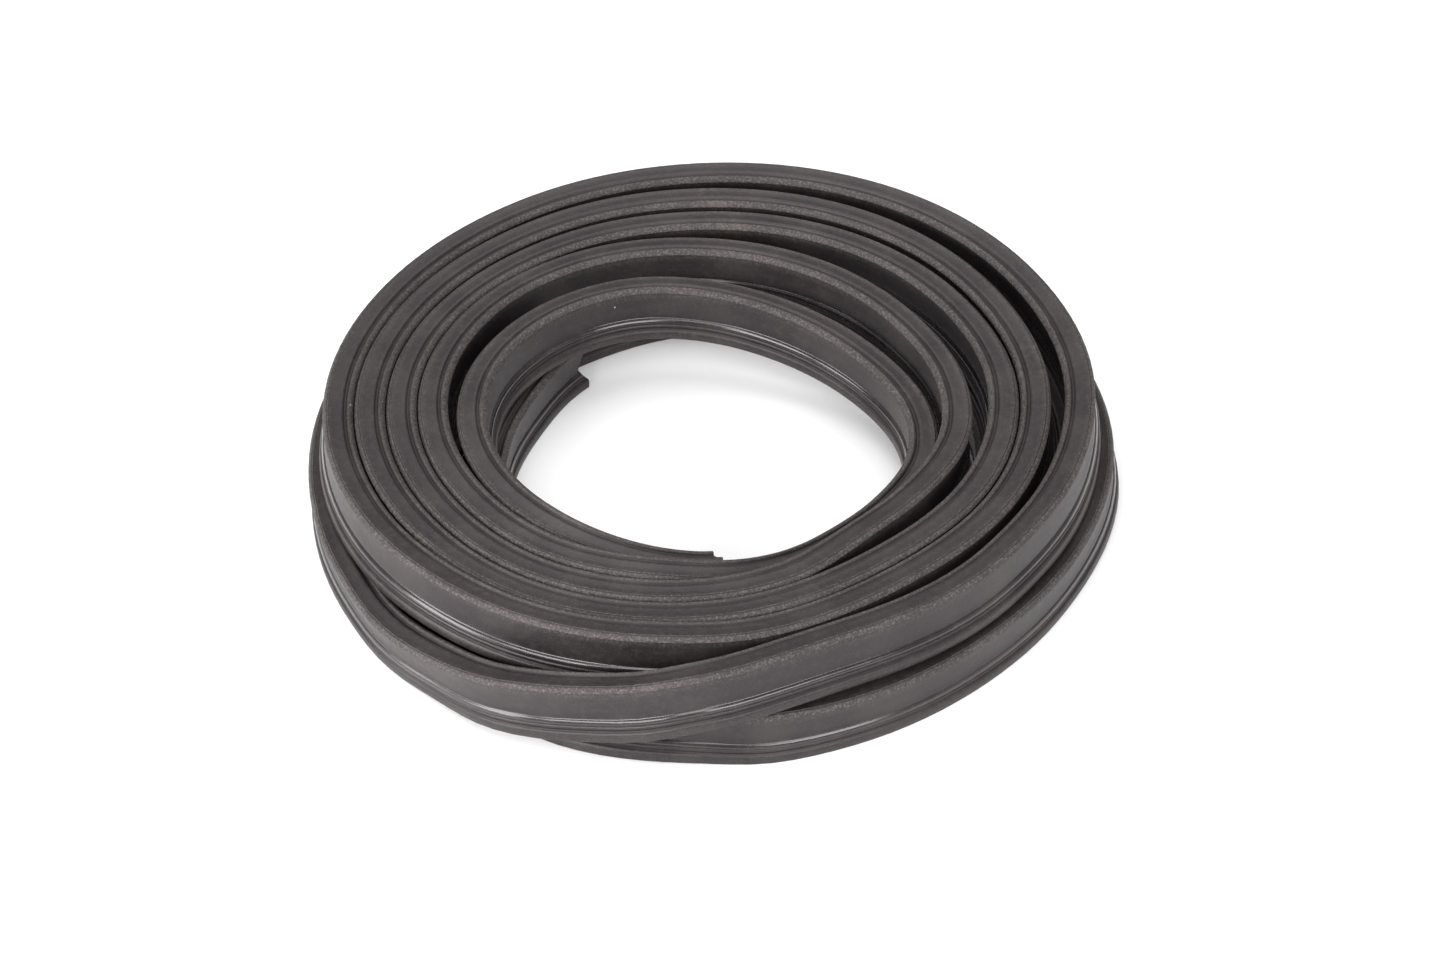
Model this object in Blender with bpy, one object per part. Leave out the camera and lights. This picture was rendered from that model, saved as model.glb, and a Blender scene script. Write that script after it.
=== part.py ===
"""Rubber seal strip, one length of extruded rubber lying in a loose coil.

One solid body: the strip's own section swept along the way it lies.  It stands
on its foot, winds outwards through five turns in the upper layer, drops to the
floor over the turn below, and winds inwards through the lower layer to the
other cut end.  Metres, Z up, floor at Z = 0, origin under the middle of the
coil.  The coil is seen in plan from its eye; azimuth 0 is +X, 90 is +Y.
"""
import math

import bmesh
import bpy
import numpy as np

MM = 0.001
weldDistance = 0.01 * MM

# Section of the strip, standing on its foot.  Heights are from the floor,
# insets from the edge of the foot.
stripHeight = 19.5
footWidth = 10.4
footHeight = 3.4
creaseHeight = 3.9
creaseInset = 1.1
ridgeHeight = 5.2
ridgeInset = 0.5
beadHeight = 7.9
beadInset = 0.7
waistHeight = 9.7
waistInset = 1.25
topInset = 0.45
edgeRound = 1.7
grooveOffset = -2.0
grooveWidth = 1.3
grooveDepth = 0.6

# The lay of the coil.  Turns are counted from the upper cut end.
eyeOffset = (-2.0, 5.3)
startAzimuth = 272.0
totalTurns = 8.39
stepsPerTurn = 28
closeSteps = [(4.95, 5.15), (5.95, 6.15)]
layerGap = 0.5
turnGap = 0.76
innerLean = 8.0
leanPerTurn = -3.6

# Turns leaning together at the top stand closer there than at the foot.
topWidth = footWidth - 2 * topInset
layerHeight = stripHeight + layerGap
turnPitch = footWidth + turnGap + stripHeight * math.sin(math.radians(leanPerTurn))

# Inner top edge of the upper layer seen from the eye, in foot widths, one
# radius each 30 degrees from azimuth 0; the coil is tight at the front left
# and eased open at the back right.
eyeRadii = [5.15, 4.43, 4.22, 4.43, 5.09, 5.88, 6.58, 7.02, 7.17, 6.76, 6.01, 5.76]

# Slack between one upper turn and the next: widest opening in foot widths, and
# the part of the turn where it begins and ends.
slack = [(1.11, 0.12, 0.88), (0.91, 0.34, 0.92), (0.33, 0.28, 0.80), (0.65, 0.28, 0.96)]

# Where the upper layer leaves the plain spiral: turns at which this begins, is
# full, eases and ends, then how far the foot sinks as a share of the strip's
# height, how far it moves out in foot widths, and its added lean in degrees.
departures = [
    (-0.20, -0.10, -0.03, 0.13, 0.48, 0, 0),
    (0.40, 0.75, 0.92, 1.05, 0.46, 0, 0),
    (0.55, 0.70, 0.76, 0.86, 0, 0.24, -3),
    (0.80, 0.87, 0.91, 1.00, 0, -0.18, 0),
    (1.78, 1.87, 1.90, 1.97, 0, 0, -11),
    (3.98, 4.03, 4.11, 4.17, -0.09, 0, 0),
]

# Where the strip leaves the upper layer, and through the lower one: turns
# laid, radius at mid height in foot widths, height of the foot in layers,
# lean outwards in degrees.
rampTurn = 4.84
lowerLay = [
    (4.90, 11.47, 1.00, -8), (4.947, 11.57, 1.00, -8), (4.972, 11.88, 1.02, -8),
    (4.986, 12.17, 1.02, -8), (5.008, 12.75, 1.045, -8), (5.028, 12.91, 0.83, -8),
    (5.05, 12.89, 0.655, -5), (5.064, 13.00, 0.555, -5), (5.078, 12.98, 0.455, 0),
    (5.092, 12.82, 0.27, 4), (5.106, 12.61, 0.15, 8), (5.119, 12.53, 0.075, 10),
    (5.136, 12.50, 0.02, 9), (5.17, 12.25, 0, 5), (5.25, 12.05, 0, 0),
    (5.50, 11.92, 0, 0), (5.75, 12.29, 0, -10), (5.84, 11.88, 0, 0),
    (5.88, 11.83, 0, 0), (5.95, 12.05, 0, 2), (5.986, 12.17, 0, 0),
    (6.008, 12.03, 0, -5), (6.028, 12.08, 0, -15), (6.05, 12.12, 0, -18),
    (6.064, 12.08, 0, -20), (6.075, 11.94, 0, -19), (6.083, 11.82, 0, -17),
    (6.094, 11.54, 0, -12), (6.106, 11.24, 0, -6), (6.12, 11.06, 0, -2),
    (6.17, 10.94, 0, 0), (6.25, 10.88, 0, 0), (6.50, 10.81, 0, 0),
    (6.75, 11.06, 0, 0), (6.88, 10.71, 0, 0), (7.00, 10.82, 0, 0),
    (7.044, 10.53, 0, 0), (7.10, 9.90, 0, 0), (7.25, 8.46, 0, 0),
    (7.33, 7.79, 0, 0), (7.38, 7.67, 0, 0), (7.42, 7.67, 0, 0),
    (7.475, 7.85, 0, 0), (7.60, 8.28, 0, 0), (7.75, 8.72, 0, 0),
    (8.00, 9.38, 0, 0), (8.044, 9.30, 0, 0), (8.10, 8.76, 0, 0),
    (8.17, 7.60, 0, 0), (8.25, 6.70, 0, 0), (8.32, 6.37, 0, 0),
    (8.39, 6.63, 0, 0),
]


def ease(lower, upper, value):
    t = min(max((value - lower) / (upper - lower), 0.0), 1.0)
    return t * t * (3.0 - 2.0 * t)


def through(xs, ys, x):
    """Smooth curve through the points, with no overshoot between them."""
    xs = np.asarray(xs, float)
    ys = np.asarray(ys, float)
    width = np.diff(xs)
    slope = np.diff(ys) / width
    rate = np.zeros(len(xs))
    for i in range(1, len(xs) - 1):
        if slope[i - 1] * slope[i] > 0:
            wa = 2 * width[i] + width[i - 1]
            wb = width[i] + 2 * width[i - 1]
            rate[i] = (wa + wb) / (wa / slope[i - 1] + wb / slope[i])
    rate[0] = slope[0]
    rate[-1] = slope[-1]
    i = int(np.clip(np.searchsorted(xs, x) - 1, 0, len(xs) - 2))
    t = (x - xs[i]) / width[i]
    h00 = (1 + 2 * t) * (1 - t) ** 2
    h10 = t * (1 - t) ** 2
    h01 = t * t * (3 - 2 * t)
    h11 = t * t * (t - 1)
    return h00 * ys[i] + h10 * width[i] * rate[i] + h01 * ys[i + 1] + h11 * width[i] * rate[i + 1]


def eyeRadius(azimuth):
    """Periodic cubic through the twelve radii."""
    count = len(eyeRadii)
    place = (azimuth % 360.0) * count / 360.0
    i = int(place)
    t = place - i
    a, b, c, d = [eyeRadii[(i + k) % count] for k in (-1, 0, 1, 2)]
    return b + 0.5 * t * (c - a + t * (2 * a - 5 * b + 4 * c - d + t * (3 * (b - c) + d - a)))


def upperLay(turn):
    azimuth = startAzimuth - 360.0 * turn
    whole = int(turn)
    part = turn - whole
    lean = innerLean + leanPerTurn * turn
    radius = eyeRadius(azimuth) * footWidth + turnPitch * turn + topWidth / 2
    for opening, begins, ends in slack[:whole]:
        if begins < part < ends:
            wave = math.sin(math.pi * (part - begins) / (ends - begins))
            radius += opening * footWidth * wave ** 2
    radius -= stripHeight * math.sin(math.radians(lean))
    foot = layerHeight
    for begins, full, eases, ends, sink, shift, tip in departures:
        amount = ease(begins, full, turn) - ease(eases, ends, turn)
        foot -= sink * stripHeight * amount
        radius += shift * footWidth * amount
        lean += tip * amount
    radius += stripHeight / 2 * math.sin(math.radians(lean))
    return radius, foot, lean


def lay(turn):
    """Radius at mid height, height of the foot and lean at this turn count."""
    first = lowerLay[0][0]
    if turn <= rampTurn:
        return upperLay(turn)
    turns = [row[0] for row in lowerLay]
    width, level, lean = [through(turns, [row[k] for row in lowerLay], max(turn, first)) for k in (1, 2, 3)]
    lower = (width * footWidth, level * layerHeight, lean)
    if turn >= first:
        return lower
    blend = ease(rampTurn, first, turn)
    return tuple(h + (g - h) * blend for h, g in zip(upperLay(turn), lower))


def sectionPoints():
    """One side of the section mirrored, with the groove set off centre in the top."""
    half = footWidth / 2
    roundSag = edgeRound * (1 - math.sqrt(0.5))
    side = [
        (half, 0.0),
        (half, footHeight),
        (half - creaseInset, creaseHeight),
        (half - ridgeInset, ridgeHeight),
        (half - creaseInset, (ridgeHeight + beadHeight) / 2),
        (half - beadInset, beadHeight),
        (half - waistInset, waistHeight),
        (half - topInset, stripHeight - edgeRound),
        (half - topInset - roundSag, stripHeight - roundSag),
        (half - topInset - edgeRound, stripHeight),
    ]
    top = [
        (grooveOffset + grooveWidth / 2, stripHeight),
        (grooveOffset, stripHeight - grooveDepth),
        (grooveOffset - grooveWidth / 2, stripHeight),
    ]
    return side + top + [(-x, y) for x, y in reversed(side)]


def ringTurns():
    """Turn counts of the rings, twice as close where the strip changes layer."""
    half = 0.5 / stepsPerTurn
    turns = [2 * half * i for i in range(math.ceil(totalTurns * stepsPerTurn))]
    for begins, ends in closeSteps:
        turns += [turn + half for turn in turns if begins < turn < ends]
    return sorted(turns) + [totalTurns]


def makeStrip(collection, guides):
    section = bpy.data.curves.new("section", "CURVE")
    section.dimensions = "2D"
    outline = section.splines.new("POLY")
    points = sectionPoints()
    outline.points.add(len(points) - 1)
    for point, (x, y) in zip(outline.points, points):
        # The coil winds clockwise, so the sweep's own X points at the eye.
        point.co = (-x * MM, (y - stripHeight / 2) * MM, 0, 1)
    outline.use_cyclic_u = True
    sectionObject = bpy.data.objects.new("section", section)
    guides.objects.link(sectionObject)

    route = bpy.data.curves.new("route", "CURVE")
    route.dimensions = "3D"
    route.twist_mode = "Z_UP"
    route.bevel_mode = "OBJECT"
    route.bevel_object = sectionObject
    route.use_fill_caps = True
    spline = route.splines.new("POLY")
    turns = ringTurns()
    spline.points.add(len(turns) - 1)
    for turn, point in zip(turns, spline.points):
        radius, foot, lean = lay(turn)
        azimuth = math.radians(startAzimuth - 360.0 * turn)
        x = eyeOffset[0] + radius * math.cos(azimuth)
        y = eyeOffset[1] + radius * math.sin(azimuth)
        tilt = math.radians(lean)
        drop = stripHeight / 2 * math.cos(tilt) + footWidth / 2 * abs(math.sin(tilt))
        point.co = (x * MM, y * MM, (foot + drop) * MM, 1)
        point.tilt = -tilt
    routeObject = bpy.data.objects.new("route", route)
    guides.objects.link(routeObject)

    graph = bpy.context.evaluated_depsgraph_get()
    mesh = bpy.data.meshes.new_from_object(routeObject.evaluated_get(graph))
    mesh.name = "seal_strip"
    strip = bpy.data.objects.new("seal_strip", mesh)
    strip.matrix_world = routeObject.matrix_world
    collection.objects.link(strip)
    bpy.data.objects.remove(routeObject)

    work = bmesh.new()
    work.from_mesh(mesh)
    bmesh.ops.remove_doubles(work, verts=work.verts, dist=weldDistance)
    bmesh.ops.recalc_face_normals(work, faces=work.faces)
    work.to_mesh(mesh)
    work.free()
    return strip


def rubber():
    material = bpy.data.materials.new("black_rubber")
    material.use_nodes = True
    shader = material.node_tree.nodes["Principled BSDF"]
    shader.inputs["Base Color"].default_value = (0.035, 0.033, 0.033, 1)
    shader.inputs["Roughness"].default_value = 0.55
    return material


def main():
    for item in list(bpy.data.objects):
        bpy.data.objects.remove(item, do_unlink=True)
    collection = bpy.data.collections.new("rubber_seal_strip")
    bpy.context.scene.collection.children.link(collection)
    guides = bpy.data.collections.new("guides")
    bpy.context.scene.collection.children.link(guides)
    strip = makeStrip(collection, guides)
    strip.data.materials.append(rubber())
    strip.data.shade_smooth()
    strip.data.set_sharp_from_angle(angle=math.radians(30))
    for item in guides.objects:
        item.hide_render = True
        item.display_type = "WIRE"


main()
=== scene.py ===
import math

import bpy
import numpy as np
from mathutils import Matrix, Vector


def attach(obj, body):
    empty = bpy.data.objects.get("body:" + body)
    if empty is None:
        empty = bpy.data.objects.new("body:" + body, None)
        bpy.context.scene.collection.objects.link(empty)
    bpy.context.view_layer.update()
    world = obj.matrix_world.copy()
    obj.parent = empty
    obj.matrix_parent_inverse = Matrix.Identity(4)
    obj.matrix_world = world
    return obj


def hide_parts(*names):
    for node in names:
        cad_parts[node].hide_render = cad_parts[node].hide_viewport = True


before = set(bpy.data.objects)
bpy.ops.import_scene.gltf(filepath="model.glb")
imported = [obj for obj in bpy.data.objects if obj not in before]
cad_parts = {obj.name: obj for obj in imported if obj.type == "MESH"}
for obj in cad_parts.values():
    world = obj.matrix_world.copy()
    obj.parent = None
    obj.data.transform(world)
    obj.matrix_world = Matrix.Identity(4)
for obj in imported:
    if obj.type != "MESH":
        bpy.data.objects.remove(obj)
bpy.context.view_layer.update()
print("frame loaded")

mm = 0.001

# The section in mm, standing on its foot. The corners themselves are in wall and head below.
section = {
    "height": 19.5,
    "foot": 10.4,
    "topInset": 0.45,      # on each side, from the foot's edge
    "cornerPoints": 2,     # points in each rounded corner
    "cornerShare": 0.45,   # of an edge that one rounding may take
    "sharpAngle": 55,      # degrees, above which an edge stays sharp
}

# The lay of the coil, as the solid has it. Turns count from the end that lies on top, clockwise seen
# from above: outwards through the upper layer, then inwards through the lower one. Gaps are in mm and
# leans in degrees. Radii, slack and shifts are in foot widths.
# eyeRadii: from the eye's centre to the first turn's top, evenly round from azimuth 0.
# slack: how wide the gap after each upper turn opens, and the part of a turn in which it does.
# departures: the turns at which one begins, is full, eases and ends, then its sink (in strip
# heights), shift and tip.
# lower: turn, radius, height in layers and lean, where the strip has left the upper layer.
coil = {
    "eye": (-2.0, 5.3),
    "startAzimuth": 272.0,
    "turns": 8.39,
    "ringsPerTurn": 130,
    "layerGap": 0.5,
    "turnGap": 0.76,
    "innerLean": 8.0,
    "leanPerTurn": -3.6,
    "rampTurn": 4.84,
    "smoothing": 0.007,
    "eyeRadii": [5.15, 4.43, 4.22, 4.43, 5.09, 5.88, 6.58, 7.02, 7.17, 6.76, 6.01, 5.76],
    "slack": [(1.11, 0.12, 0.88), (0.91, 0.34, 0.92), (0.33, 0.28, 0.80), (0.65, 0.28, 0.96)],
    "departures": [
        (-0.20, -0.10, -0.03, 0.13, 0.48, 0, 0),
        (0.40, 0.75, 0.92, 1.05, 0.46, 0, 0),
        (0.55, 0.70, 0.76, 0.86, 0, 0.24, -3),
        (0.80, 0.87, 0.91, 1.00, 0, -0.18, 0),
        (1.78, 1.87, 1.90, 1.97, 0, 0, -11),
        (3.98, 4.03, 4.11, 4.17, -0.09, 0, 0),
    ],
    "lower": [
        (4.90, 11.47, 1.00, -8), (4.947, 11.57, 1.00, -8), (4.972, 11.88, 1.02, -8),
        (4.986, 12.17, 1.02, -8), (5.008, 12.75, 1.045, -8), (5.028, 12.91, 0.83, -8),
        (5.05, 12.89, 0.655, -5), (5.064, 13.00, 0.555, -5), (5.078, 12.98, 0.455, 0),
        (5.092, 12.82, 0.27, 4), (5.106, 12.61, 0.15, 8), (5.119, 12.53, 0.075, 10),
        (5.136, 12.50, 0.02, 9), (5.17, 12.25, 0, 5), (5.25, 12.05, 0, 0),
        (5.50, 11.92, 0, 0), (5.75, 12.29, 0, -10), (5.84, 11.88, 0, 0),
        (5.88, 11.83, 0, 0), (5.95, 12.05, 0, 2), (5.986, 12.17, 0, 0),
        (6.008, 12.03, 0, -5), (6.028, 12.08, 0, -15), (6.05, 12.12, 0, -18),
        (6.064, 12.08, 0, -20), (6.075, 11.94, 0, -19), (6.083, 11.82, 0, -17),
        (6.094, 11.54, 0, -12), (6.106, 11.24, 0, -6), (6.12, 11.06, 0, -2),
        (6.17, 10.94, 0, 0), (6.25, 10.88, 0, 0), (6.50, 10.81, 0, 0),
        (6.75, 11.06, 0, 0), (6.88, 10.71, 0, 0), (7.00, 10.82, 0, 0),
        (7.044, 10.53, 0, 0), (7.10, 9.90, 0, 0), (7.25, 8.46, 0, 0),
        (7.33, 7.79, 0, 0), (7.38, 7.67, 0, 0), (7.42, 7.67, 0, 0),
        (7.475, 7.85, 0, 0), (7.60, 8.28, 0, 0), (7.75, 8.72, 0, 0),
        (8.00, 9.38, 0, 0), (8.044, 9.30, 0, 0), (8.10, 8.76, 0, 0),
        (8.17, 7.60, 0, 0), (8.25, 6.70, 0, 0), (8.32, 6.37, 0, 0),
        (8.39, 6.63, 0, 0),
    ],
}


def ease(lower, upper, value):
    t = min(max((value - lower) / (upper - lower), 0.0), 1.0)
    return t * t * (3.0 - 2.0 * t)


# Smooth curve through the points, with no overshoot between them.
def through(xs, ys, x):
    xs = np.asarray(xs, float)
    ys = np.asarray(ys, float)
    width = np.diff(xs)
    slope = np.diff(ys) / width
    rate = np.zeros(len(xs))
    for i in range(1, len(xs) - 1):
        if slope[i - 1] * slope[i] > 0:
            before = 2 * width[i] + width[i - 1]
            after = width[i] + 2 * width[i - 1]
            rate[i] = (before + after) / (before / slope[i - 1] + after / slope[i])
    rate[0] = slope[0]
    rate[-1] = slope[-1]
    i = int(np.clip(np.searchsorted(xs, x) - 1, 0, len(xs) - 2))
    t = (x - xs[i]) / width[i]
    h00 = (1 + 2 * t) * (1 - t) ** 2
    h10 = t * (1 - t) ** 2
    h01 = t * t * (3 - 2 * t)
    h11 = t * t * (t - 1)
    return h00 * ys[i] + h10 * width[i] * rate[i] + h01 * ys[i + 1] + h11 * width[i] * rate[i + 1]


# Inner radius of the first turn, on a smooth closed curve.
def eyeRadius(azimuth):
    radii = coil["eyeRadii"]
    place = (azimuth % 360.0) * len(radii) / 360.0
    i = int(place)
    t = place - i
    a, b, c, d = [radii[(i + k) % len(radii)] for k in (-1, 0, 1, 2)]
    return b + 0.5 * t * (c - a + t * (2 * a - 5 * b + 4 * c - d + t * (3 * (b - c) + d - a)))


# Radius, level of the foot and lean of a turn in the upper layer.
def upperLay(turn):
    height = section["height"]
    foot = section["foot"]
    topWidth = foot - 2 * section["topInset"]
    pitch = foot + coil["turnGap"] + height * math.sin(math.radians(coil["leanPerTurn"]))
    azimuth = coil["startAzimuth"] - 360.0 * turn
    part = turn - int(turn)
    lean = coil["innerLean"] + coil["leanPerTurn"] * turn
    radius = eyeRadius(azimuth) * foot + pitch * turn + topWidth / 2
    for opening, begins, ends in coil["slack"][:int(turn)]:
        if begins < part < ends:
            radius += opening * foot * math.sin(math.pi * (part - begins) / (ends - begins)) ** 2
    radius -= height * math.sin(math.radians(lean))
    level = height + coil["layerGap"]
    for begins, full, eases, ends, sink, shift, tip in coil["departures"]:
        amount = ease(begins, full, turn) - ease(eases, ends, turn)
        level -= sink * height * amount
        radius += shift * foot * amount
        lean += tip * amount
    radius += height / 2 * math.sin(math.radians(lean))
    return radius, level, lean


# The same anywhere on the strip: upper layer, then the way down and the lower layer.
def lay(turn):
    rows = coil["lower"]
    first = rows[0][0]
    if turn <= coil["rampTurn"]:
        return upperLay(turn)
    turns = [row[0] for row in rows]
    place = max(turn, first)
    radius, level, lean = [through(turns, [row[k] for row in rows], place) for k in (1, 2, 3)]
    lower = (radius * section["foot"], level * (section["height"] + coil["layerGap"]), lean)
    if turn >= first:
        return lower
    blend = ease(coil["rampTurn"], first, turn)
    return tuple(h + (g - h) * blend for h, g in zip(upperLay(turn), lower))


# Gaussian mean along the strip, with its ends held.
def smoothed(values, spread):
    reach = int(3 * spread)
    weights = np.exp(-0.5 * (np.arange(-reach, reach + 1) / spread) ** 2)
    weights /= weights.sum()
    before = 2 * values[0] - values[reach:0:-1]
    after = 2 * values[-1] - values[-2:-reach - 2:-1]
    return np.convolve(np.concatenate([before, values, after]), weights, "valid")


# Centre line at mid height, with the strip's lean and how far along it lies.
def routePoints():
    count = round(coil["turns"] * coil["ringsPerTurn"])
    turns = np.linspace(0, coil["turns"], count + 1)
    rows = np.array([lay(turn) for turn in turns])
    spread = coil["smoothing"] * coil["ringsPerTurn"]
    radius, level, lean = [smoothed(rows[:, k], spread) for k in range(3)]
    level = np.maximum(level, 0.0)
    azimuth = np.radians(coil["startAzimuth"] - 360.0 * turns)
    tilt = np.radians(lean)
    rise = section["height"] / 2 * np.cos(tilt) + section["foot"] / 2 * np.abs(np.sin(tilt))
    x = coil["eye"][0] + radius * np.cos(azimuth)
    y = coil["eye"][1] + radius * np.sin(azimuth)
    points = np.stack([x, y, level + rise], 1) * mm
    steps = np.linalg.norm(np.diff(points, axis=0), axis=1)
    run = np.concatenate([[0.0], np.cumsum(steps)])
    return points, tilt, run


# Corners of the section: out from the middle, height, rounding, grain, gloss. Both walls are the same,
# up from the foot. The head then goes across from one wall to the other.
half = section["foot"] / 2
wall = [
    (half, 0.0, 0.35, 0.3, 0.2),
    (half, 3.2, 0.45, 0.2, 0.45),
    (half - 1.10, 3.65, 0.20, 0.0, 0.0),
    (half - 0.50, 4.40, 0.35, 0.1, 0.5),
    (half - 0.50, 5.10, 0.35, 0.1, 0.5),
    (half - 1.00, 5.45, 0.15, 0.0, 0.1),
    (half - 0.55, 5.75, 0.25, 0.0, 0.9),
    (half - 0.50, 6.20, 0.25, 0.0, 1.0),
    (half - 0.68, 6.80, 0.30, 0.0, 1.0),
    (half - 1.02, 7.30, 0.30, 0.0, 1.0),
    (half - 1.42, 7.62, 0.20, 0.0, 0.9),
    (half - 1.50, 8.40, 0.60, 0.0, 0.4),
    (half - 1.30, 13.0, 2.00, 0.1, 0.35),
    (half - 1.00, 16.9, 0.40, 0.5, 0.3),
    (half - 1.05, 17.3, 0.10, 0.0, 0.0),
]
head = [
    (half - 0.27, 17.45, 0.25, 0.8, 0.1),
    (half - 0.35, 17.95, 0.45, 1.0, 0.1),
    (3.95, 19.15, 0.60, 1.0, 0.1),
    (3.65, 19.15, 0.10, 0.1, 0.0),
    (3.40, 19.50, 0.15, 1.0, 0.2),
    (3.00, 19.35, 0.25, 0.4, 0.3),
    (0.80, 19.15, 1.00, 0.15, 0.5),
    (-1.30, 19.35, 0.30, 0.25, 0.35),
    (-1.65, 18.45, 0.20, 0.0, 0.0),
    (-2.45, 18.45, 0.20, 0.0, 0.0),
    (-2.85, 19.40, 0.30, 0.7, 0.1),
    (-3.70, 19.30, 0.50, 1.0, 0.1),
    (-(half - 0.35), 17.95, 0.45, 1.0, 0.1),
    (-(half - 0.27), 17.45, 0.25, 0.8, 0.1),
]

# The two cut ends, in mm past the route's ends: the first by place across the section,
# the second by height up its wall, as the knife went crooked.
ends = {
    "reach": 11.0,   # how far back along the strip the change fades out
    "firstAcross": [(-5.2, -2.4), (-2.2, -2.2), (-1.2, 0.3), (5.2, 0.0)],
    "lastUpward": [(0.0, 0.3), (3.4, 0.6), (5.6, -1.2), (8.0, -3.6), (11.0, -2.6), (19.5, 1.8)],
}


# Closed outline with each corner turned in a short arc.
def rounded(corners):
    outline = []
    count = len(corners)
    for i, (x, y, radius, grain, gloss) in enumerate(corners):
        here = np.array([x, y])
        before = np.array(corners[i - 1][:2])
        after = np.array(corners[(i + 1) % count][:2])
        sideIn = np.linalg.norm(before - here)
        sideOut = np.linalg.norm(after - here)
        start = here + (before - here) / sideIn * min(radius, section["cornerShare"] * sideIn)
        end = here + (after - here) / sideOut * min(radius, section["cornerShare"] * sideOut)
        for t in np.linspace(0, 1, section["cornerPoints"]):
            place = start * (1 - t) ** 2 + here * 2 * t * (1 - t) + end * t ** 2
            outline.append((place[0], place[1], grain, gloss))
    return outline


# Wire of points for the sweep, with one value per point under each name.
def looseMesh(name, points, cyclic, marks):
    mesh = bpy.data.meshes.new(name)
    count = len(points)
    edges = [(i, i + 1) for i in range(count - 1)]
    if cyclic:
        edges.append((count - 1, 0))
    mesh.from_pydata([tuple(p) for p in points], edges, [])
    for key, values in marks.items():
        attribute = mesh.attributes.new(key, "FLOAT", "POINT")
        attribute.data.foreach_set("value", np.asarray(values, np.float32))
    wire = bpy.data.objects.new(name, mesh)
    bpy.context.scene.collection.objects.link(wire)
    return wire


# Sweeps a section wire along a route wire that stands upright and leans as marked.
def sweepTree():
    tree = bpy.data.node_groups.new("sweepAlongLay", "GeometryNodeTree")
    tree.interface.new_socket("Geometry", in_out="INPUT", socket_type="NodeSocketGeometry")
    tree.interface.new_socket("Route", in_out="INPUT", socket_type="NodeSocketObject")
    tree.interface.new_socket("Section", in_out="INPUT", socket_type="NodeSocketObject")
    tree.interface.new_socket("Finish", in_out="INPUT", socket_type="NodeSocketMaterial")
    tree.interface.new_socket("Geometry", in_out="OUTPUT", socket_type="NodeSocketGeometry")
    nodes = tree.nodes
    links = tree.links
    given = nodes.new("NodeGroupInput")
    result = nodes.new("NodeGroupOutput")
    wires = {}
    for key in ("Route", "Section"):
        info = nodes.new("GeometryNodeObjectInfo")
        curve = nodes.new("GeometryNodeMeshToCurve")
        links.new(given.outputs[key], info.inputs["Object"])
        links.new(info.outputs["Geometry"], curve.inputs["Mesh"])
        wires[key] = curve.outputs["Curve"]
    upright = nodes.new("GeometryNodeSetCurveNormal")
    upright.mode = "Z_UP"
    lean = nodes.new("GeometryNodeInputNamedAttribute")
    lean.data_type = "FLOAT"
    lean.inputs["Name"].default_value = "lean"
    tilt = nodes.new("GeometryNodeSetCurveTilt")
    sweep = nodes.new("GeometryNodeCurveToMesh")
    sweep.inputs["Fill Caps"].default_value = True
    smooth = nodes.new("GeometryNodeSetShadeSmooth")
    realize = nodes.new("GeometryNodeRealizeInstances")
    finish = nodes.new("GeometryNodeSetMaterial")
    links.new(wires["Route"], upright.inputs["Curve"])
    links.new(upright.outputs["Curve"], tilt.inputs["Curve"])
    links.new(lean.outputs["Attribute"], tilt.inputs["Tilt"])
    links.new(tilt.outputs["Curve"], sweep.inputs["Curve"])
    links.new(wires["Section"], sweep.inputs["Profile Curve"])
    links.new(sweep.outputs["Mesh"], smooth.inputs["Geometry"])
    links.new(smooth.outputs["Geometry"], realize.inputs["Geometry"])
    links.new(realize.outputs["Geometry"], finish.inputs["Geometry"])
    links.new(given.outputs["Finish"], finish.inputs["Material"])
    links.new(finish.outputs["Geometry"], result.inputs["Geometry"])
    return tree


def socketId(tree, name):
    for item in tree.interface.items_tree:
        if item.name == name and item.in_out == "INPUT":
            return item.identifier


def markValues(mesh, name):
    values = np.zeros(len(mesh.vertices), np.float32)
    mesh.attributes[name].data.foreach_get("value", values)
    return values


# Draws the last few millimetres of each end in or out, so that the cuts are not square.
def cutEnds(mesh, points, run):
    places = np.zeros(len(mesh.vertices) * 3, np.float32)
    mesh.vertices.foreach_get("co", places)
    places = places.reshape(-1, 3)
    there = markValues(mesh, "run")
    reach = ends["reach"] * mm
    for outwards, away, mark, rows in (
        (points[0] - points[1], there, "across", ends["firstAcross"]),
        (points[-1] - points[-2], run[-1] - there, "upward", ends["lastUpward"]),
    ):
        marks = [row[0] for row in rows]
        pushes = [row[1] * mm for row in rows]
        push = np.interp(markValues(mesh, mark), marks, pushes)
        fade = np.clip(1.0 - away / reach, 0.0, 1.0)
        places += (push * fade)[:, None] * (outwards / np.linalg.norm(outwards))[None, :]
    mesh.vertices.foreach_set("co", places.ravel())


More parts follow.
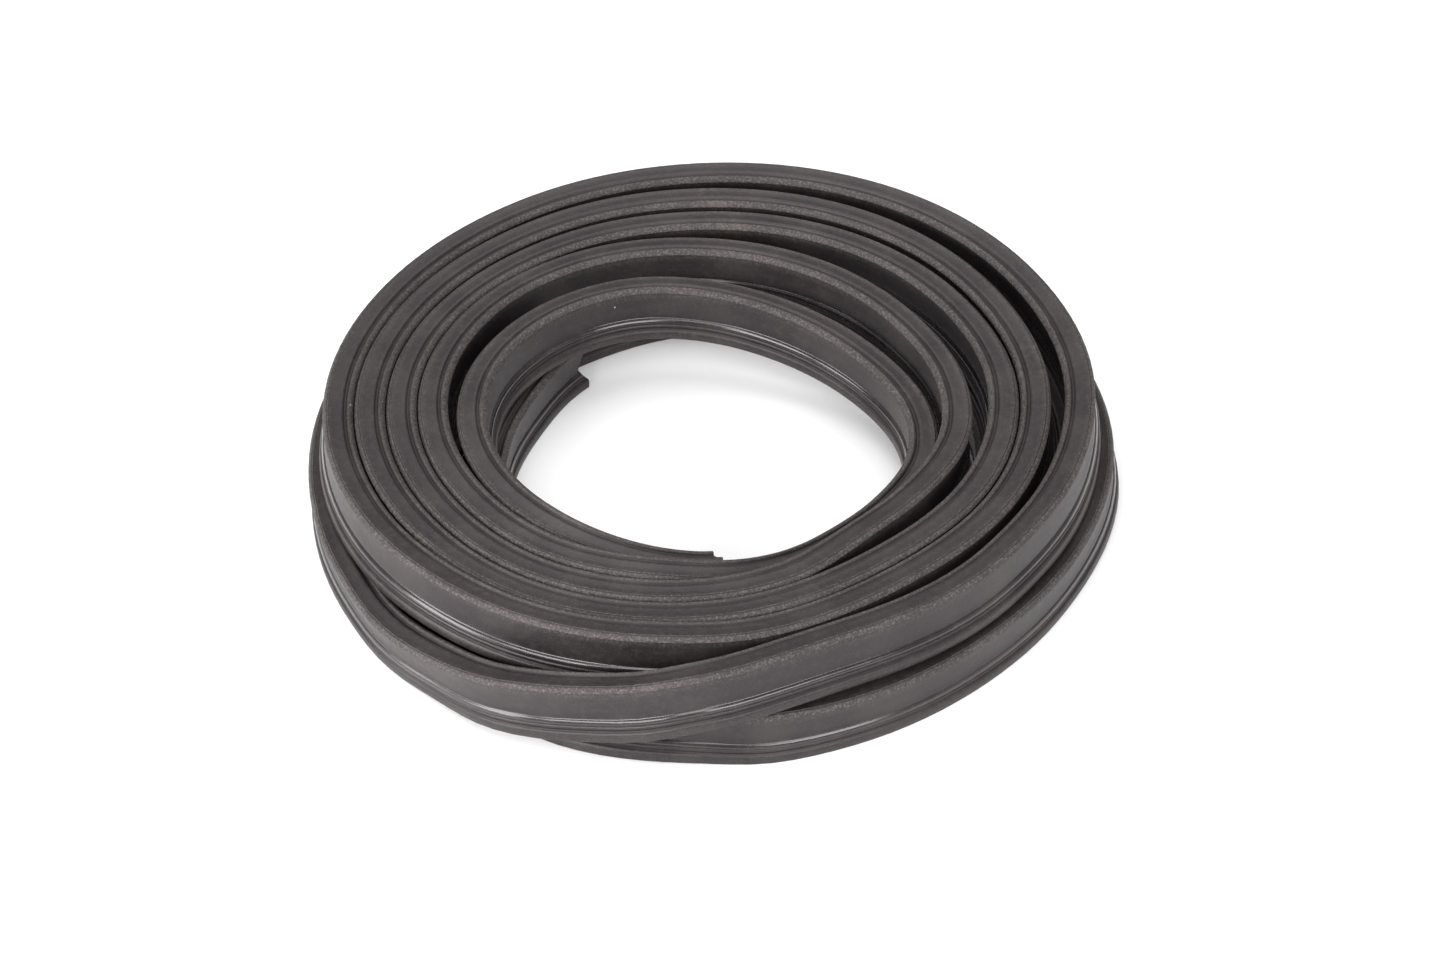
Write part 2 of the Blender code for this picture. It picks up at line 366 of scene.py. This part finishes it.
def makeStrip(material):
    points, tilt, run = routePoints()
    route = looseMesh("routeWire", points, False, {"lean": -tilt, "run": run})
    corners = wall + head + [(-x, y, r, grain, gloss) for x, y, r, grain, gloss in reversed(wall)]
    outline = rounded(corners)
    wire = [(-x * mm, (section["height"] / 2 - y) * mm, 0.0) for x, y, grain, gloss in outline]
    marks = {
        "across": [row[0] for row in outline],
        "upward": [row[1] for row in outline],
        "grain": [row[2] for row in outline],
        "gloss": [row[3] for row in outline],
    }
    profile = looseMesh("sectionWire", wire, True, marks)
    tree = sweepTree()
    swept = bpy.data.objects.new("sweep", bpy.data.meshes.new("sweep"))
    bpy.context.scene.collection.objects.link(swept)
    modifier = swept.modifiers.new("sweep", "NODES")
    modifier.node_group = tree
    modifier[socketId(tree, "Route")] = route
    modifier[socketId(tree, "Section")] = profile
    modifier[socketId(tree, "Finish")] = material
    graph = bpy.context.evaluated_depsgraph_get()
    mesh = bpy.data.meshes.new_from_object(swept.evaluated_get(graph), depsgraph=graph)
    mesh.name = "sealStrip"
    cutEnds(mesh, points, run)
    mesh.set_sharp_from_angle(angle=math.radians(section["sharpAngle"]))
    for item in (swept, route, profile):
        bpy.data.objects.remove(item, do_unlink=True)
    strip = bpy.data.objects.new("sealStrip", mesh)
    bpy.context.scene.collection.objects.link(strip)
    return strip


# Rubber: colours in linear light, sizes of the marks in metres. A span is where a mark starts
# and where it is full.
rubberLook = {
    "dark": (0.0125, 0.0104, 0.0112),
    "worn": (0.105, 0.096, 0.090),
    "dust": (0.110, 0.099, 0.082),
    "lint": (0.62, 0.60, 0.58),
    "grainSize": 0.0007,
    "blotchSize": 0.018,
    "mottleSize": 0.0022,
    "dustSize": 0.030,
    "lintSpacing": 0.022,
    "lintRadius": 0.00030,
    "sheen": 0.40,
    "sheenTint": (1.0, 0.89, 0.92),
    "wallRoughness": 0.50,
    "beadRoughness": 0.20,
    "grainRoughness": 0.66,
    "mottleRoughness": (-0.03, 0.04),
    "roughSpan": (0.3, 0.7),
    "coat": 0.5,
    "coatSpan": (0.6, 1.0),
    "grainWear": 0.18,
    "crumbWear": 0.62,
    "crumbSpan": (0.42, 0.74),
    "blotchWear": 0.12,
    "blotchSpan": (0.35, 0.75),
    "mottleWear": 0.08,
    "mottleSpan": (0.45, 0.75),
    "dustAmount": 0.45,
    "dustSpan": (0.58, 0.70),
    "dustMottle": (0.40, 0.62),
    "lintAmount": 0.8,
    "lintCore": 0.6,
    "grainHeight": 0.00030,
    "drawnSize": 0.0009,      # width of the fine lines that run along the strip
    "drawnSquash": 0.02,      # squeezes the pattern along the strip, so that they run on
    "drawnHeight": 0.6,
    "mottleHeight": 0.5,
    "dullHeight": 0.24,       # how much of both a dull wall has
    "glossHeight": -0.22,     # what full gloss takes off that
}


class Wiring:
    # Short calls for the few kinds of shader node that the rubber needs.
    def __init__(self, tree):
        self.nodes = tree.nodes
        self.links = tree.links

    def feed(self, socket, value):
        if hasattr(value, "links"):
            self.links.new(value, socket)
        elif isinstance(value, tuple):
            socket.default_value = value + (1.0,) * (len(socket.default_value) - len(value))
        else:
            socket.default_value = value

    def mark(self, name):
        node = self.nodes.new("ShaderNodeAttribute")
        node.attribute_name = name
        return node.outputs["Fac"]

    def calc(self, kind, first, second=0.0, third=0.0):
        node = self.nodes.new("ShaderNodeMath")
        node.operation = kind
        for socket, value in zip(node.inputs, (first, second, third)):
            self.feed(socket, value)
        return node.outputs[0]

    def noise(self, vector, size, detail=3.0):
        node = self.nodes.new("ShaderNodeTexNoise")
        self.feed(node.inputs["Vector"], vector)
        self.feed(node.inputs["Scale"], 1.0 / size)
        self.feed(node.inputs["Detail"], detail)
        return node.outputs["Fac"]

    def span(self, value, lower, upper, low=0.0, high=1.0):
        node = self.nodes.new("ShaderNodeMapRange")
        node.interpolation_type = "SMOOTHSTEP"
        keys = ("Value", "From Min", "From Max", "To Min", "To Max")
        for key, given in zip(keys, (value, lower, upper, low, high)):
            self.feed(node.inputs[key], given)
        return node.outputs["Result"]

    def blend(self, amount, first, second):
        node = self.nodes.new("ShaderNodeMix")
        node.data_type = "RGBA"
        self.feed(node.inputs[0], amount)
        self.feed(node.inputs[6], first)
        self.feed(node.inputs[7], second)
        return node.outputs[2]


def rubber():
    look = rubberLook
    material = bpy.data.materials.new("blackRubber")
    material.use_nodes = True
    shader = material.node_tree.nodes["Principled BSDF"]
    net = Wiring(material.node_tree)
    place = net.nodes.new("ShaderNodeTexCoord").outputs["Object"]
    grain = net.mark("grain")
    gloss = net.mark("gloss")

    # Lines drawn out along the strip, as the die leaves them.
    along = net.nodes.new("ShaderNodeCombineXYZ")
    net.feed(along.inputs["X"], net.calc("MULTIPLY", net.mark("run"), look["drawnSquash"]))
    net.feed(along.inputs["Y"], net.calc("MULTIPLY", net.mark("across"), mm))
    net.feed(along.inputs["Z"], net.calc("MULTIPLY", net.mark("upward"), mm))
    drawn = net.noise(along.outputs[0], look["drawnSize"], 2.0)

    # Grain and wear, lightest on the rough shoulders.
    fine = net.noise(place, look["grainSize"], 2.0)
    mottle = net.noise(place, look["mottleSize"], 4.0)
    blotch = net.noise(place, look["blotchSize"], 3.0)
    crumbs = net.calc("MULTIPLY", grain, net.span(fine, *look["crumbSpan"]))
    crumbs = net.calc("MULTIPLY", crumbs, look["crumbWear"])
    wear = net.calc("MULTIPLY_ADD", grain, look["grainWear"], crumbs)
    wear = net.calc("ADD", wear, net.span(blotch, *look["blotchSpan"], 0.0, look["blotchWear"]))
    wear = net.calc("ADD", wear, net.span(mottle, *look["mottleSpan"], 0.0, look["mottleWear"]))
    colour = net.blend(wear, look["dark"], look["worn"])

    # Patches of dust in the grain, and a speck of lint here and there.
    patch = net.span(net.noise(place, look["dustSize"], 3.0), *look["dustSpan"])
    dusty = net.calc("MULTIPLY", patch, net.span(mottle, *look["dustMottle"]))
    dusty = net.calc("MULTIPLY", dusty, net.calc("MULTIPLY", grain, look["dustAmount"]))
    colour = net.blend(dusty, colour, look["dust"])
    cells = net.nodes.new("ShaderNodeTexVoronoi")
    net.feed(cells.inputs["Vector"], place)
    net.feed(cells.inputs["Scale"], 1.0 / look["lintSpacing"])
    edge = look["lintRadius"] / look["lintSpacing"]
    speck = net.span(cells.outputs["Distance"], look["lintCore"] * edge, edge, 1.0, 0.0)
    colour = net.blend(net.calc("MULTIPLY", speck, look["lintAmount"]), colour, look["lint"])
    net.feed(shader.inputs["Base Color"], colour)
    shader.inputs["Specular Tint"].default_value = look["sheenTint"] + (1.0,)
    shader.inputs["Specular IOR Level"].default_value = look["sheen"]

    dull = look["wallRoughness"]
    rough = net.calc("MULTIPLY_ADD", gloss, look["beadRoughness"] - dull, dull)
    rough = net.calc("MULTIPLY_ADD", grain, look["grainRoughness"] - dull, rough)
    rough = net.calc("ADD", rough, net.span(mottle, *look["roughSpan"], *look["mottleRoughness"]))
    net.feed(shader.inputs["Roughness"], rough)
    net.feed(shader.inputs["Coat Weight"], net.span(gloss, *look["coatSpan"], 0.0, look["coat"]))
    shader.inputs["Coat Roughness"].default_value = look["beadRoughness"]

    share = net.calc("MULTIPLY_ADD", gloss, look["glossHeight"], look["dullHeight"])
    height = net.calc("MULTIPLY", mottle, look["mottleHeight"])
    height = net.calc("MULTIPLY_ADD", drawn, look["drawnHeight"], height)
    height = net.calc("MULTIPLY", height, share)
    height = net.calc("MULTIPLY_ADD", fine, grain, height)
    bump = net.nodes.new("ShaderNodeBump")
    net.feed(bump.inputs["Strength"], 1.0)
    net.feed(bump.inputs["Distance"], look["grainHeight"])
    net.feed(bump.inputs["Height"], height)
    net.feed(shader.inputs["Normal"], bump.outputs["Normal"])
    return material


strip = makeStrip(rubber())
print("strip", len(strip.data.vertices), "points")
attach(strip, "root")
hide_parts("seal_strip")


# Pale floor in metres, and the light of the sky all round.
studio = {
    "floorReach": 6.0,
    "floorWhite": 0.92,
    "floorRoughness": 0.9,
    "sky": 0.4,
}


def plainFloor():
    mesh = bpy.data.meshes.new("floor")
    reach = studio["floorReach"]
    corners = [(-reach, -reach, 0), (reach, -reach, 0), (reach, reach, 0), (-reach, reach, 0)]
    mesh.from_pydata(corners, [], [(0, 1, 2, 3)])
    floor = bpy.data.objects.new("floor", mesh)
    bpy.context.scene.collection.objects.link(floor)
    material = bpy.data.materials.new("paleFloor")
    material.use_nodes = True
    shader = material.node_tree.nodes["Principled BSDF"]
    shader.inputs["Base Color"].default_value = (studio["floorWhite"],) * 3 + (1,)
    shader.inputs["Roughness"].default_value = studio["floorRoughness"]
    mesh.materials.append(material)


# Soft boxes aimed at the coil: bearing and height in degrees, distance and size in metres, watts.
softBoxes = [
    ("overhead", 95.0, 76.0, 1.5, (1.6, 1.6), 18.0),
    ("frontTop", 268.0, 52.0, 1.5, (0.7, 0.4), 5.0),
    ("left", 200.0, 14.0, 1.3, (0.6, 0.8), 14.0),
    ("right", 345.0, 14.0, 1.3, (0.5, 0.8), 0.8),
    ("frontLeft", 236.0, 28.0, 1.3, (0.70, 0.45), 11.0),
    ("frontRight", 300.0, 28.0, 1.3, (0.70, 0.45), 8.0),
]


def softLight(name, bearing, height, distance, size, power):
    lamp = bpy.data.lights.new(name, "AREA")
    lamp.shape = "RECTANGLE"
    lamp.size = size[0]
    lamp.size_y = size[1]
    lamp.energy = power
    around = math.radians(bearing)
    up = math.radians(height)
    level = math.cos(up)
    away = Vector((math.cos(around) * level, math.sin(around) * level, math.sin(up)))
    holder = bpy.data.objects.new(name, lamp)
    holder.location = away * distance
    holder.rotation_euler = (-away).to_track_quat("-Z", "Y").to_euler()
    bpy.context.scene.collection.objects.link(holder)


plainFloor()
world = bpy.data.worlds.new("studio")
world.use_nodes = True
background = world.node_tree.nodes["Background"]
background.inputs["Color"].default_value = (1, 1, 1, 1)
background.inputs["Strength"].default_value = studio["sky"]
bpy.context.scene.world = world
bpy.context.scene.view_settings.view_transform = "Standard"
for box in softBoxes:
    softLight(*box)
print("floor and", len(softBoxes), "soft boxes")

# The camera that fits the photograph, in mm and degrees.
view = {
    "target": (2.0, 5.3, 0.0),
    "elevation": 40.5,
    "distance": 1000.0,
    "pixels": 3030.0,   # focal length, in pixels of a picture as wide as the next line says
    "width": 1445.0,
}
camera = bpy.data.cameras.new("camera")
camera.sensor_width = 36.0
camera.lens = camera.sensor_width * view["pixels"] / view["width"]
camera.clip_start = 0.01
holder = bpy.data.objects.new("camera", camera)
angle = math.radians(view["elevation"])
aim = Vector(view["target"]) * mm
back = Vector((0.0, -math.cos(angle), math.sin(angle)))
holder.location = aim + back * view["distance"] * mm
holder.rotation_euler = (-back).to_track_quat("-Z", "Y").to_euler()
bpy.context.scene.collection.objects.link(holder)
bpy.context.scene.camera = holder
print("camera")
